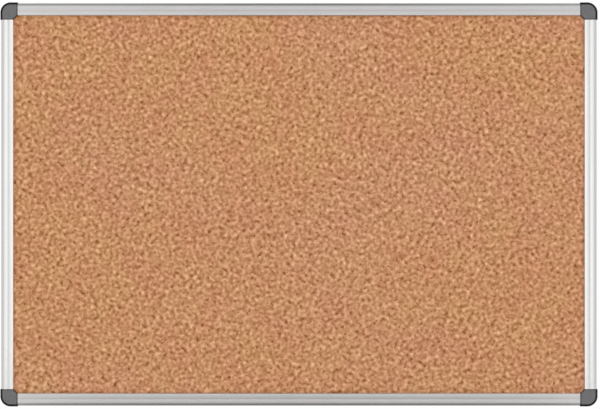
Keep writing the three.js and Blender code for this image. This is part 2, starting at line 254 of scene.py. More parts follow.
# %% A finish with patterns in millimetres
class Finish(Graph):
    """A material. What is the same all over it is given at once, by the shader's own names."""

    def __init__(self, name, dimensions="3D", **fixed):
        self.dimensions = dimensions
        self.material = bpy.data.materials.new(name)
        self.material.use_nodes = True
        super().__init__(self.material.node_tree)
        for label, value in fixed.items():
            self.socket(label).default_value = value

    def socket(self, label):
        return self.tree.nodes["Principled BSDF"].inputs[label.replace("_", " ")]

    def place(self, stretch=(1, 1, 1), turn=(0, 0, 0)):
        """Object coordinates in millimetres. A share of 0.01 draws a pattern out a hundredfold."""
        return self.node("ShaderNodeMapping", {"vector_type": "TEXTURE"}, {
            "Vector": self.node("ShaderNodeTexCoord", output="Object"),
            "Rotation": turn, "Scale": tuple(MM / share for share in stretch)})

    def noise(self, place, size, detail=2.0, roughness=0.5, output="Fac"):
        """Cloudy noise whose lumps are about that many millimetres across."""
        return self.node("ShaderNodeTexNoise", {"noise_dimensions": self.dimensions}, {
            "Vector": place, "Scale": 1 / size, "Detail": detail, "Roughness": roughness}, output)

    def cells(self, place, size, output="Distance"):
        """Cells about that many millimetres across: distance from the middle, or a colour each."""
        return self.node("ShaderNodeTexVoronoi", {"voronoi_dimensions": self.dimensions}, {
            "Vector": place, "Scale": 1 / size}, output)

    def axis(self, place, name):
        return self.node("ShaderNodeSeparateXYZ", {}, {"Vector": place}, name)

    def first(self, colour):
        """One number out of a cell's random colour."""
        return self.node("ShaderNodeSeparateColor", {}, {"Color": colour})

    def feed(self, **values):
        """Links what varies to the shader, and gives the material."""
        for label, value in values.items():
            self.tree.links.new(value.socket, self.socket(label))
        return self.material

    def relief(self, height, depth):
        """Shapes the surface by a height from 0 to 1 that stands for that many millimetres."""
        self.feed(Normal=self.node("ShaderNodeBump", {}, {
            "Strength": 1.0, "Distance": depth * MM, "Height": height}))


print("a finish has noise, cells and relief, in millimetres")

# %% [markdown]
# ## Aluminium
# The rails are pressed through a die, then anodised. The die leaves fine lines along the rail,
# which spread a reflection across the rail and hardly along it. An anisotropic shader does that,
# with its direction set once for the level rails and once for the upright ones. The lines
# themselves are a noise that is stretched a hundredfold along the rail. The level rails are a
# little duller, and the upright ones sharp enough for their ribs to show light and dark bands.

# %% The anodised aluminium, for level rails and for upright rails
def shade(red, green, blue):
    return (red, green, blue, 1.0)


def aluminium_finish(name, stretch, direction, dullness):
    finish = Finish(name, Metallic=1.0, Anisotropic=0.55, Anisotropic_Rotation=direction)
    place = finish.place(stretch)
    lines = finish.noise(place, 0.35, detail=3, roughness=0.6)
    bands = finish.noise(place, 2.4)
    clouds = finish.noise(finish.place(), 34)
    tone = finish.ramp(0.55 * lines + 0.45 * bands, 0.3, 0.7)
    dark, pale = shade(0.558, 0.553, 0.543), shade(0.612, 0.606, 0.594)
    finish.relief(0.7 * lines + 0.3 * bands, 0.006)
    return finish.feed(
        Base_Color=finish.mix(tone, dark, pale), Roughness=dullness + 0.1 * lines + 0.06 * clouds)


aluminium_level = aluminium_finish("aluminium_level", (0.01, 1, 1), 0.25, 0.38)
aluminium_upright = aluminium_finish("aluminium_upright", (1, 1, 0.01), 0.0, 0.20)
print("made", aluminium_level.name, aluminium_upright.name)

# %% [markdown]
# ## Moulded plastic
# The covers are moulded in a grey plastic. The mould's flat face is spark eroded, which gives the
# cover's front a fine even grain in a lighter grey. The rim and the skirts are polished, and their
# near-black colour is painted shade for the rounded rim and the sides. The two meet where the rim
# begins, so the mask is the distance behind the front.
# The brackets are a dull dark nylon, with the faint flow marks of a hidden part.

# %% The cover's plastic and the bracket's nylon
# Where the rim's painted shade and its polish begin behind the front, and where they are full
SHADED_POLISH_STARTS, SHADED_POLISH_FULL = 0.004, 0.06


def cover_finish():
    finish = Finish("cover_plastic", Specular_IOR_Level=0.12)
    place = finish.place()
    grain = finish.cells(place, 0.34)
    clouds = finish.noise(place, 5.5, detail=3, roughness=0.55)
    # The rim mask paints the rim and skirts near black, a painted shade, and lowers their roughness
    # for the polish
    rim = finish.ramp(COVER_TOP + finish.axis(place, "Y"), SHADED_POLISH_STARTS, SHADED_POLISH_FULL)
    face = finish.mix(clouds, shade(0.128, 0.128, 0.132), shade(0.192, 0.190, 0.196))
    finish.relief(grain * (1 - rim), 0.03)
    return finish.feed(
        Base_Color=finish.mix(rim, face, shade(0.010, 0.010, 0.011)),
        Roughness=0.56 - 0.18 * rim + 0.06 * clouds)


def bracket_finish():
    finish = Finish("bracket_nylon", Specular_IOR_Level=0.35)
    flow = finish.noise(finish.place((1, 0.35, 1)), 9, detail=3, roughness=0.6)
    specks = finish.noise(finish.place(), 0.4)
    dark, pale = shade(0.058, 0.059, 0.062), shade(0.088, 0.089, 0.093)
    finish.relief(0.6 * specks + 0.4 * flow, 0.03)
    return finish.feed(Base_Color=finish.mix(flow, dark, pale), Roughness=0.52 + 0.16 * specks)


cover_plastic, bracket_nylon = cover_finish(), bracket_finish()
print("made", cover_plastic.name, bracket_nylon.name)

# %% [markdown]
# ## Zinc-plated steel
# The screws that hold the brackets are plated with bright zinc, which is a little blue and
# mottled. A cell pattern gives the spangle, and a fine noise the dullness of a cheap screw.

# %% The steel of the screws
def steel_finish():
    finish = Finish("zinc_plated_steel", Metallic=1.0)
    place = finish.place()
    spangle = finish.first(finish.cells(place, 0.8, "Color"))
    smut = finish.noise(place, 1.3, detail=3, roughness=0.6)
    dark, pale = shade(0.60, 0.62, 0.65), shade(0.74, 0.745, 0.75)
    finish.relief(smut, 0.01)
    return finish.feed(Base_Color=finish.mix(spangle, dark, pale), Roughness=0.26 + 0.22 * smut)


zinc_plated_steel = steel_finish()
print("made", zinc_plated_steel.name)

# %% [markdown]
# ## Cork
# The sheet is agglomerated cork: granules of bark pressed together with a binder and sanded flat.
# Seen from a step away, it is a tan ground with pale peach granules and dark brown flecks, each a
# few millimetres across, with slow patches that are a little yellower or redder. Each of these is
# a pattern of its own size, added as a number first, because granules differ mostly in lightness,
# and only then turned to a colour. Clumps, chunks and crumbs make the grain, and the two ends of
# one more noise make dark flecks and pale chips. Noises whose grids would show are turned out of
# line. Along the rails the cork is painted a little darker: painted shade, where the rails' lips
# would shade the sheet. A granule that stands proud carries a random number of its own.

# %% How light the cork is
# Millimetres from a rail where the painted shade beside the lips begins, and where it is full
LIP_SHADE_STARTS, LIP_SHADE_FULL = 7.0, 1.5


def painted_lip_shade(finish):
    """How much painted shade the cork takes: from 0 out on the sheet to 1 beside a rail."""
    place = finish.place()
    inwards = [reach / 2 - RAIL_FACE - abs(finish.axis(place, name))
               for reach, name in ((FRAME_WIDTH, "X"), (FRAME_HEIGHT, "Z"))]
    return finish.ramp(finish.maths("MINIMUM", *inwards), LIP_SHADE_STARTS, LIP_SHADE_FULL)


def cork_lightness(finish, bent, crumbs):
    one, other, specks = (
        finish.noise(finish.place(turn=(math.pi / 2, angle, 0)), size, detail=0)
        for angle, size in ((0.4, 5.8), (1.15, 5.8), (0.75, 5.2)))
    clumps = 0.5 * one + 0.5 * other
    granules = finish.cells(bent, 4.6)
    chunks = finish.first(finish.cells(bent, 2.3, "Color"))
    flecks, chips = finish.ramp(specks, 0.34, 0.14), finish.ramp(specks, 0.68, 0.9)
    grain = finish.node("ShaderNodeAttribute", {"attribute_name": "grain"}, output="Fac")
    light = 0.512 + 0.88 * (clumps - 0.5) + 0.08 * (0.45 - granules) + 0.17 * (chunks - 0.5)
    light = light + 0.26 * (crumbs - 0.5) - 0.36 * flecks + 0.2 * chips + 0.04 * grain
    # The last term darkens the cork beside the rails: painted shade from the lips
    return light - 0.09 * painted_lip_shade(finish)


print("the cork is browner within", LIP_SHADE_STARTS, "mm of a rail")

# %% The cork, for the sheet and for the granules that stand proud of it
CORK_SHADES = [
    shade(0.246, 0.086, 0.024), shade(0.381, 0.166, 0.067), shade(0.554, 0.278, 0.138),
    shade(0.763, 0.425, 0.239), shade(1.000, 0.608, 0.374)]
RUDDY, YELLOW = shade(1.0, 0.92, 0.99), shade(1.0, 1.0, 0.90)


def cork_finish():
    finish = Finish("agglomerated_cork", "2D", Specular_IOR_Level=0.18)
    place = finish.place(turn=(math.pi / 2, 0, 0))
    drift = finish.noise(place, 5.0, output="Color")
    bent = finish.vectors("ADD", place, finish.vectors("SCALE", drift, 3.0))
    crumbs = finish.noise(bent, 0.9, detail=3, roughness=0.65)
    pores = finish.noise(place, 0.6, detail=3, roughness=0.6)
    stops = [(step / 4, colour) for step, colour in enumerate(CORK_SHADES)]
    colour = finish.node(
        "ShaderNodeValToRGB", {"stops": stops}, {"Fac": cork_lightness(finish, bent, crumbs)})
    colour = finish.mix(finish.ramp(finish.noise(place, 62), 0.3, 0.7), colour, RUDDY, "MULTIPLY")
    patches = finish.ramp(finish.noise(place, 290, detail=3), 0.36, 0.64)
    colour = finish.mix(patches, colour, YELLOW, "MULTIPLY")
    finish.relief(0.6 * crumbs + 0.4 * pores, 0.12)
    return finish.feed(Base_Color=colour, Roughness=0.78 + 0.16 * pores)


cork = cork_finish()
print("made", cork.name, "with", len(cork.node_tree.nodes), "nodes")

# %% [markdown]
# ## Fibreboard and backing
# Behind the cork lies a soft fibreboard, and a thin hard sheet faced with brown paper closes the
# back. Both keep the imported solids' own shape. Fibres are noise stretched along one axis, in two
# directions, and the paper adds the faint clouds that pulp dries with.

# %% The fibreboard and the paper-faced backing
def fibre_finish(name, dark, pale, fibre, depth):
    finish = Finish(name, Specular_IOR_Level=0.2)
    long, cross = (
        finish.noise(finish.place(stretch, (0, lean, 0)), fibre, detail=3, roughness=0.65)
        for stretch, lean in (((0.16, 1, 1), 0.25), ((1, 1, 0.2), -0.35)))
    fibres = finish.maths("MAXIMUM", long, cross)
    clouds = finish.noise(finish.place(), 26, detail=3, roughness=0.6)
    tone = finish.ramp(0.75 * fibres + 0.25 * clouds, 0.38, 0.68)
    finish.relief(fibres, depth)
    return finish.feed(Base_Color=finish.mix(tone, dark, pale), Roughness=0.72 + 0.2 * fibres)


soft_board = fibre_finish(
    "soft_fibreboard", shade(0.26, 0.19, 0.115), shade(0.46, 0.36, 0.24), fibre=1.1, depth=0.25)
backing_paper = fibre_finish(
    "backing_paper", shade(0.26, 0.215, 0.165), shade(0.37, 0.32, 0.26), fibre=0.7, depth=0.05)
print("made", soft_board.name, backing_paper.name)

# %% [markdown]
# ## Solid shapes in code
# The corner pieces are moulded, so they are made as a toolmaker would cut them: a block lofted
# through rings of points, prisms, and turned profiles, added to and cut from each other. The exact
# Boolean solver does the cuts. Its result is made a plain mesh, shaded smooth with sharp edges
# where the faces turn quickly, and weighted so that flat faces stay flat beside a rounded rim.

# %% Arcs and outlines
WELD = 1e-4  # points nearer than this are one point
LARGEST_ROUND_SHARE = 0.4  # of a side, taken by the round at one of its ends


def arc(x, y, radius, start, end, steps):
    turns = [start + (end - start) * i / steps for i in range(steps + 1)]
    return [(x + radius * math.cos(t), y + radius * math.sin(t)) for t in turns]


def softened(outline, radius, least=0.5):
    """The outline with each corner that turns by more than `least` rounded to a small radius."""
    points = []
    for i, corner in enumerate(outline):
        here = Vector(corner)
        back, on = Vector(outline[i - 1]) - here, Vector(outline[(i + 1) % len(outline)]) - here
        if min(back.length, on.length) < WELD:
            continue
        turn = math.pi - back.angle(on)
        most = LARGEST_ROUND_SHARE * min(back.length, on.length)
        reach = min(radius * math.tan(turn / 2), most) if turn > least else 0
        if reach < WELD:
            points.append(tuple(here))
            continue
        first, last = here + back.normalized() * reach, here + on.normalized() * reach
        for t in (0.0, 0.25, 0.5, 0.75, 1.0):
            points.append(tuple((1 - t) ** 2 * first + 2 * t * (1 - t) * here + t * t * last))
    return points


print("a softened square has", len(softened([(0, 0), (4, 0), (4, 4), (0, 4)], 0.5)), "points")

# %% Closed meshes: a skin over rings, and a prism
def mesh_of(name, points, faces):
    mesh = bpy.data.meshes.new(name)
    mesh.from_pydata(points, [], faces)
    return mesh


def closed(name, points, faces):
    """A mesh whose points are welded and whose faces point outwards."""
    mesh = mesh_of(name, points, faces)
    shape = bmesh.new()
    shape.from_mesh(mesh)
    bmesh.ops.remove_doubles(shape, verts=shape.verts, dist=WELD)
    bmesh.ops.recalc_face_normals(shape, faces=shape.faces)
    shape.to_mesh(mesh)
    shape.free()
    return mesh


def loft(name, rings):
    count = len(rings[0])
    points = [point for ring in rings for point in ring]
    faces = [tuple(range(count)), tuple((len(rings) - 1) * count + i for i in range(count))]
    for level in range(len(rings) - 1):
        for i in range(count):
            low, following = level * count + i, level * count + (i + 1) % count
            faces.append((low, following, following + count, low + count))
    return closed(name, points, faces)


def prism(name, outline, low, high, along="z"):
    """An outline given a thickness. Along x, the outline is a rail's section, in y and z."""
    if along == "z":
        return loft(name, [[(x, y, z) for x, y in outline] for z in (low, high)])
    return loft(name, [[(x, y, z) for y, z in outline] for x in (low, high)])


def oblong(left, low, right, high):
    return [(left, low), (right, low), (right, high), (left, high)]


print("rings can be skinned over, and an outline given a thickness")

# %% Turned shapes
def turned(name, profile, x, y, sides):
    """A profile of radii and heights, spun about an upright line at x and y."""
    count = len(profile)
    points, faces = [], []
    for i in range(sides):
        a = 2 * math.pi * i / sides
        points += [(x + r * math.cos(a), y + r * math.sin(a), z) for r, z in profile]
        here, following = i * count, ((i + 1) % sides) * count
        for j in range(count - 1):
            faces.append((here + j, here + j + 1, following + j + 1, following + j))
    return closed(name, points, faces)


def rod(name, radius, low, high, x, y, sides):
    return turned(name, [(0, low), (radius, low), (radius, high), (0, high)], x, y, sides)


print("a profile can be spun about an upright line")

# %% Cutting and joining, with a plain mesh at the end
def plain_mesh(name, obj):
    """The object's mesh with its modifiers applied, as a mesh of its own. The object goes."""
    bpy.context.view_layer.update()
    evaluated = obj.evaluated_get(bpy.context.evaluated_depsgraph_get())
    mesh = bpy.data.meshes.new_from_object(evaluated)
    mesh.name = name
    bpy.data.objects.remove(obj)
    return mesh


def held(name, mesh):
    """A new object in the scene that holds this mesh, curve, lamp or camera."""
    obj = bpy.data.objects.new(name, mesh)
    bpy.context.scene.collection.objects.link(obj)
    return obj


def worked(name, blank, *steps):
    """A blank after each step, an operation and the mesh that it is done with."""
    body = held(name, blank)
    tools = []
    for number, (operation, tool) in enumerate(steps):
        tools.append(held(f"tool_{number}", tool))
        cut = body.modifiers.new(operation, "BOOLEAN")
        cut.operation, cut.solver, cut.object = operation, "EXACT", tools[-1]
    mesh = plain_mesh(name, body)
    for tool in tools:
        bpy.data.objects.remove(tool)
    return mesh


print("a blank can be cut and added to, step by step")

# %% Smooth faces between sharp edges
def smoothed(name, mesh, angle=30, edge=0.0):
    """Smooth shading that keeps sharp edges, with an edge rounded by `edge` where it is given."""
    angle = math.radians(angle)
    body = held(name, mesh)
    if edge:
        bevel = body.modifiers.new("edge", "BEVEL")
        bevel.width, bevel.segments, bevel.limit_method = edge, 2, "ANGLE"
        bevel.angle_limit, bevel.use_clamp_overlap = angle, True
        mesh = plain_mesh(name, body)
        body = held(name, mesh)
    mesh.shade_smooth()
    mesh.set_sharp_from_angle(angle=angle)
    body.modifiers.new("weight", "WEIGHTED_NORMAL").keep_sharp = True
    return plain_mesh(name, body)


print("a mesh can be smoothed, and its edges rounded first")

# %% A finished piece, with its finish and its body
def piece(name, mesh, material, body, slot, *replaced):
    """A finished piece at the origin, on its body, standing for the nodes that it replaces."""
    mesh.materials.clear()
    mesh.materials.append(material)
    obj = held(name, mesh)
    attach(obj, body)
    if replaced:
        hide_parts(*replaced)


def triangles(mesh):
    mesh.calc_loop_triangles()
    return len(mesh.loop_triangles)


# %% [markdown]
# ## The rails
# All four rails are cut from one extrusion, so the rule is simple: one section, run along a line
# for as long as the side needs. Geometry Nodes say exactly that. Fill Curve closes the drawn
# section, with its hollow chamber left open, Extrude Mesh gives it its length, and a second copy
# of the filled section, turned over, closes the other end. The front has a rounded outer edge, two
# shallow ribs with a valley between them, and a small rolled lip where it meets the cork.

# %% The front of the rail's section
def rail_front(out=0.0):
    """The front from the outer edge to the lip, grown outwards by `out` where a cover laps it."""
    outer_end = math.atan2(OUTER_RIB - VALLEY_DIP, VALLEY - OUTER_CREST)
    inner_start = math.atan2(INNER_RIB - VALLEY_DIP, VALLEY - INNER_CREST)
    points = []
    for x, below, radius, start, end, steps in (
            (EDGE_ROUND, EDGE_ROUND, EDGE_ROUND + out, math.pi, math.pi / 2, 12),
            (OUTER_CREST, OUTER_RIB - out, OUTER_RIB, math.pi / 2, outer_end, 12),
            (INNER_CREST, INNER_RIB - out, INNER_RIB, inner_start, LIP_ANGLE, 24),
            (RAIL_FACE - LIP_ROUND, LIP_DROP, LIP_ROUND + out, LIP_ANGLE, 0, 12)):
        points += arc(x, RAIL_DEPTH - below, radius, start, end, steps)
    return points


print("the rail's front has", len(rail_front()), "points")

# %% The section's outline and its hollow chamber
def rail_outline():
    inside, under = RAIL_FACE - BEAD_WIDTH, RAIL_DEPTH - LIP_THICKNESS
    bead = arc(RAIL_FACE - BEAD_ROUND, BEAD_FOOT + BEAD_ROUND, BEAD_ROUND, 0, -math.pi / 2, 4)
    channel = [(inside, BEAD_FOOT), (inside, under), (WEB_INNER, under), (WEB_INNER, RAIL_WALL)]
    back_lip = arc(
        RAIL_FACE - BACK_LIP_SETBACK, RAIL_WALL / 2, RAIL_WALL / 2, math.pi / 2, -math.pi / 2, 6)
    groove = [(WEB_OUTER, 0), (WEB_OUTER, GROOVE_DEPTH), (RAIL_WALL, GROOVE_DEPTH), (RAIL_WALL, 0)]
    return rail_front() + bead + channel + back_lip + groove + [(0, 0)]


def chamber_outline(play=0.0):
    inner = EDGE_ROUND - RAIL_WALL
    points = arc(EDGE_ROUND, CHAMBER_TOP - inner, inner - play, math.pi, math.pi / 2, 8)
    points += [(WEB_OUTER - play, CHAMBER_TOP - play), (WEB_OUTER - play, CHAMBER_FLOOR + play)]
    return points + [(RAIL_WALL + play, CHAMBER_FLOOR + play)]


print("outline and chamber:", len(rail_outline()), "and", len(chamber_outline()), "points")

# %% The section as a curve, with softened corners
def section_curve(name, outlines):
    curve = bpy.data.curves.new(name, "CURVE")
    curve.dimensions = "3D"
    for outline in outlines:
        line = curve.splines.new("POLY")
        line.points.add(len(outline) - 1)
        for point, (x, y) in zip(line.points, outline):
            point.co = (x, y, 0, 1)
        line.use_cyclic_u = True
    return held(name, curve)


section = section_curve("rail_section", [
    softened(rail_outline(), radius=0.18, least=0.9),
    softened(chamber_outline(), radius=0.3, least=0.9)])
print("section points:", [len(line.points) for line in section.data.splines])

# %% A tree of Geometry Nodes with named inputs
class GeometryTree(Graph):
    """A tree whose inputs have names and kinds, such as a Length that is a Float."""

    def __init__(self, name, inputs):
        super().__init__(bpy.data.node_groups.new(name, "GeometryNodeTree"))
        face = self.tree.interface
        face.new_socket("Geometry", in_out="INPUT", socket_type="NodeSocketGeometry")
        self.keys = {}
        for label, kind in inputs.items():
            socket = face.new_socket(label, in_out="INPUT", socket_type=f"NodeSocket{kind}")
            self.keys[label] = socket.identifier
        face.new_socket("Geometry", in_out="OUTPUT", socket_type="NodeSocketGeometry")
        self.given = self.node("NodeGroupInput", output=None)

    def input(self, label):
        return Value(self, self.given.outputs[label])

    def random(self, low, high, step=0):
        """A random number for each element. Each step past the tree's seed draws other ones."""
        return self.node("FunctionNodeRandomValue", {"data_type": "FLOAT"}, {
            RANDOM_LOW: low, RANDOM_HIGH: high, "Seed": self.input("Seed") + step}, RANDOM_RESULT)

    def end(self, geometry):
        """Ends the tree with real geometry in the finish that its input names."""
        real = self.node("GeometryNodeRealizeInstances", {}, {"Geometry": geometry})
        dressed = self.node("GeometryNodeSetMaterial", {}, {
            "Geometry": real, "Material": self.input("Finish")})
        self.node("NodeGroupOutput", {}, {"Geometry": dressed}, None)

    def run(self, name, start, **values):
        """A plain mesh: the start mesh put through the tree with these input values."""
        body = held(name, start)
        modifier = body.modifiers.new(self.tree.name, "NODES")
        modifier.node_group = self.tree
        for label, value in values.items():
            modifier[self.keys[label]] = value
        return plain_mesh(name, body)


print("a tree can name its inputs, draw random numbers and be run")

# %% The tree that extrudes the section
extrusion = GeometryTree("extrusion", {
    "Section": "Object", "Length": "Float", "Finish": "Material"})
drawn = extrusion.node(
    "GeometryNodeObjectInfo", {}, {"Object": extrusion.input("Section")}, "Geometry")
filled = extrusion.node("GeometryNodeFillCurve", {"mode": "TRIANGLES"}, {"Curve": drawn})
offset = extrusion.node("ShaderNodeCombineXYZ", {}, {"Z": extrusion.input("Length")})
long_part = extrusion.node("GeometryNodeExtrudeMesh", {"mode": "FACES"}, {
    "Mesh": filled, "Offset": offset, "Individual": False})
other_end = extrusion.node("GeometryNodeFlipFaces", {}, {"Mesh": filled})
both = extrusion.node("GeometryNodeJoinGeometry", {}, {"Geometry": [long_part, other_end]})
extrusion.end(extrusion.node("GeometryNodeMergeByDistance", {}, {
    "Geometry": both, "Distance": WELD}))
print("extrusion tree:", len(extrusion.tree.nodes), "nodes")

# %% The four rails, each drilled for its two bracket screws
ALONG_X = Matrix(((0, 0, 1, 0), (1, 0, 0, 0), (0, 1, 0, 0), (0, 0, 0, 1)))
RAIL_HOLE_RADIUS = SCREW_RADIUS + 0.4
OVERRUN = 1.0  # how far a cut runs past the faces that it opens

for turn, side in enumerate(SIDES):
    span = span_and_reach(turn)[0]
    long = span - 2 * RAIL_END
    metal = aluminium_upright if turn % 2 else aluminium_level
    start = bpy.data.meshes.new("start")
    blank = extrusion.run(f"rail_{side}_blank", start, Section=section, Length=long, Finish=metal)
    blank.transform(ALONG_X @ Matrix.Translation((0, 0, -long / 2)))
    drills = [("DIFFERENCE", rod(
        "drill", RAIL_HOLE_RADIUS, GROOVE_DEPTH - OVERRUN, CHAMBER_FLOOR + OVERRUN,
        end * (span / 2 - SCREW_ALONG), SCREW_ACROSS, sides=24)) for end in (-1, 1)]
    mesh = smoothed(f"extruded_rail_{side}", worked("drilled", blank, *drills), angle=28)
    mesh.transform(to_rail(turn))
    piece(f"extruded_rail_{side}", mesh, metal, "board", "aluminium", f"rail_{side}")
    print("rail", side, round(long, 1), "mm,", triangles(mesh), "triangles")
bpy.data.objects.remove(section)

# %% [markdown]
# ## Corner blocks
# The cover and the bracket share one form: a square block with a large round at the frame's outer
# corner, a cut corner inside, and front edges rounded over. The block is a loft. Each ring is the
# outline at one height, and the rings draw in along a quarter circle towards the front.

# %% A corner block with rounded front edges
CORNER_STEPS, RIM_STEPS = 40, 14


def corner_outline(low, high, radius, chamfer, outer, inner, soft):
    """From low to high along both rails, drawn in by `outer` outside and by `inner` inside."""
    edge, end = low + outer, high - inner
    cut = high - chamfer - inner * math.tan(math.pi / 8)
    middle = low + radius
    corners = [(end, edge), (end, cut), (cut, end), (edge, end), (edge, edge)]
    last_corner = 5  # of the softened points, in whose place comes the large round
    large_round = arc(middle, middle, radius - outer, math.pi, 1.5 * math.pi, CORNER_STEPS)
    return softened(corners, soft, least=0.3)[:-last_corner] + large_round


def drawn_in(radius, below):
    """How far a quarter round has drawn in, at that distance below the front."""
    rise = max(radius - below, 0)
    return radius - math.sqrt(radius * radius - rise * rise)


def corner_block(name, bottom, top, low, high, radius, chamfer, outer, inner, soft):
    rounds = [1 - math.sin(i / RIM_STEPS * math.pi / 2) for i in range(RIM_STEPS + 1)]
    rings = []
    for z in [bottom] + [top - outer * share for share in rounds]:
        outline = corner_outline(
            low, high, radius, chamfer, drawn_in(outer, top - z), drawn_in(inner, top - z), soft)
        rings.append([(x, y, z) for x, y in outline])
    return loft(name, rings)


print("a ring has", len(corner_outline(0, 20, 14, 3, 0, 0, 0.4)), "points")

# %% [markdown]
# ## The covers
# A cover is a shell a millimetre thick. Its two end walls are cut to the rails' own section, so
# that it laps over them, its short inner wall drops between the two lips to the cork, and two
# posts inside push into the bracket. One mesh is made, then turned to each corner.

# %% A step done along both rails of a corner
def both_ways(operation, mesh):
    """A step done with a shape, and with its like on the other rail: x and y change places."""
    other = mesh.copy()
    other.transform(Matrix(((0, 1, 0, 0), (1, 0, 0, 0), (0, 0, 1, 0), (0, 0, 0, 1))))
    other.flip_normals()
    return (operation, mesh), (operation, other)


print("a step can be done along both rails of a corner")

# %% One cover, in the corner's own frame
POST_RADIUS, POST_LENGTH, POST_POINT, POST_ROOT = 1.4, 8.0, 0.5, 0.6
POST_ALONG, POST_ACROSS = BLOCK_SIZE - 3.0, 4.0


def post_mesh():
    foot, root = COVER_CEILING - POST_LENGTH, COVER_CEILING + POST_ROOT
    profile = [(0, foot), (POST_RADIUS - POST_POINT, foot), (POST_RADIUS, foot + POST_POINT)]
    profile += [(POST_RADIUS, root), (0, root)]
    return turned("post", profile, POST_ALONG, POST_ACROSS, sides=32)


def cover_mesh():
    past = COVER_HIGH + OVERRUN
    shell = corner_block(
        "shell", SKIRT_GAP, COVER_TOP, COVER_LOW, COVER_HIGH, COVER_RADIUS, COVER_CHAMFER,
        outer=RIM_ROUND, inner=INNER_ROUND, soft=0.45)
    inside = corner_block(
        "inside", -OVERRUN, COVER_CEILING, -COVER_FIT, COVER_HIGH - COVER_WALL,
        COVER_RADIUS - COVER_WALL, COVER_CHAMFER - COVER_WALL * (2 - math.sqrt(2)),
        outer=CAVITY_ROUND, inner=0, soft=0.2)
    over_rail = rail_front(COVER_FIT) + [(RAIL_FACE + COVER_FIT, -OVERRUN), (-COVER_FIT, -OVERRUN)]
    rail_cut = prism("rail_cut", over_rail, RAIL_END, past, "x")
    over_cork = oblong(PANEL_INSET, PANEL_INSET, past, past)
    cork_cut = prism("cork_cut", over_cork, -OVERRUN, CORK_FRONT + CORK_GAP)
    return smoothed("cover", worked(
        "cover", shell,
        ("DIFFERENCE", inside),
        *both_ways("DIFFERENCE", rail_cut),
        ("DIFFERENCE", cork_cut),
        *both_ways("UNION", post_mesh())))


cover = cover_mesh()
print("cover:", triangles(cover), "triangles")

# %% The four covers, each on the body that pulls off
for turn, corner in enumerate(CORNERS):
    mesh = cover.copy()
    mesh.transform(to_corner(turn))
    piece(f"moulded_cover_{corner}", mesh, cover_plastic,
          f"cover_{corner}", "cover", f"corner_cover_{corner}")
print("covers:", len(CORNERS))

# %% [markdown]
# ## The brackets
# Under each cover, a bracket closes the corner of the frame. Its two tongues reach into the rails'
# chambers and grip with barbs, like the teeth of a ratchet. A hole with a deep recess takes the
# wall screw, two sockets take the cover's posts, and a notch clears the panel's corner. The
# barbs are an outline with a saw's edge, cut back to the chamber's section by an intersection.

# %% One tongue, along x
TONGUE_FIT, TONGUE_ROOT, TONGUE_LEAD, TONGUE_WALL = 0.15, 1.0, 2.2, 1.5
BARBS, BARB_HEIGHT, BARB_STEP = 8, 0.35, 0.06
BOSS_LENGTH, PILOT_RADIUS = 7.5, SCREW_RADIUS + 0.12


def saw_edge(near, start, end):
    """One side of the tongue: each barb rises slowly towards the block and falls at a step."""
    pitch = (TONGUE_LENGTH - TONGUE_LEAD - TONGUE_ROOT) / BARBS
    edge = [(start, near + BARB_HEIGHT)]
    for i in range(BARBS):
        step = BLOCK_SIZE + TONGUE_ROOT + i * pitch
        edge += [(step, near + BARB_HEIGHT), (step + BARB_STEP, near)]
    return edge + [(end - TONGUE_LEAD, near + BARB_HEIGHT), (end, near + TONGUE_LEAD / 2)]


def tongue_mesh():
    near, far = RAIL_WALL + TONGUE_FIT, WEB_OUTER - TONGUE_FIT
    low, high = CHAMBER_FLOOR + TONGUE_FIT, CHAMBER_TOP - TONGUE_FIT
    start, end = BLOCK_SIZE - TONGUE_ROOT, BLOCK_SIZE + TONGUE_LENGTH
    edge = saw_edge(near, start, end)
    barbed = prism("barbed", edge + [(x, near + far - y) for x, y in reversed(edge)], low, high)
    steps = [("INTERSECT", prism("chamber", chamber_outline(TONGUE_FIT), start, end, "x"))]

    inset, half = BARB_HEIGHT + TONGUE_WALL, BOSS_LENGTH / 2
    for a, b in ((BLOCK_SIZE + TONGUE_WALL, SCREW_ALONG - half),
                 (SCREW_ALONG + half, end - TONGUE_LEAD - TONGUE_WALL)):
        pocket = softened(oblong(a, near + inset, b, far - inset), 0.6)
        steps.append(("DIFFERENCE", prism("pocket", pocket, low + TONGUE_WALL, high + OVERRUN)))
    deep = GROOVE_DEPTH + SCREW_LENGTH + TONGUE_FIT
    pilot = rod("pilot", PILOT_RADIUS, low - OVERRUN, deep, SCREW_ALONG, SCREW_ACROSS, sides=24)
    return worked("tongue", barbed, *steps, ("DIFFERENCE", pilot))


tongue = tongue_mesh()
print("tongue:", triangles(tongue), "triangles")

# %% One bracket, and the four of them in their corners
WALL_HOLE_AT, WALL_HOLE_RADIUS, HEAD_SEAT_RADIUS, HEAD_RECESS_RADIUS = 10.0, 3.2, 4.9, 5.5
HEAD_SEAT_DEPTH, RECESS_FLOOR, BLOCK_NOSE = 4.2, 6.0, 2.0
SOCKET_RADIUS, SOCKET_FLOOR = POST_RADIUS + 0.12, 4.0


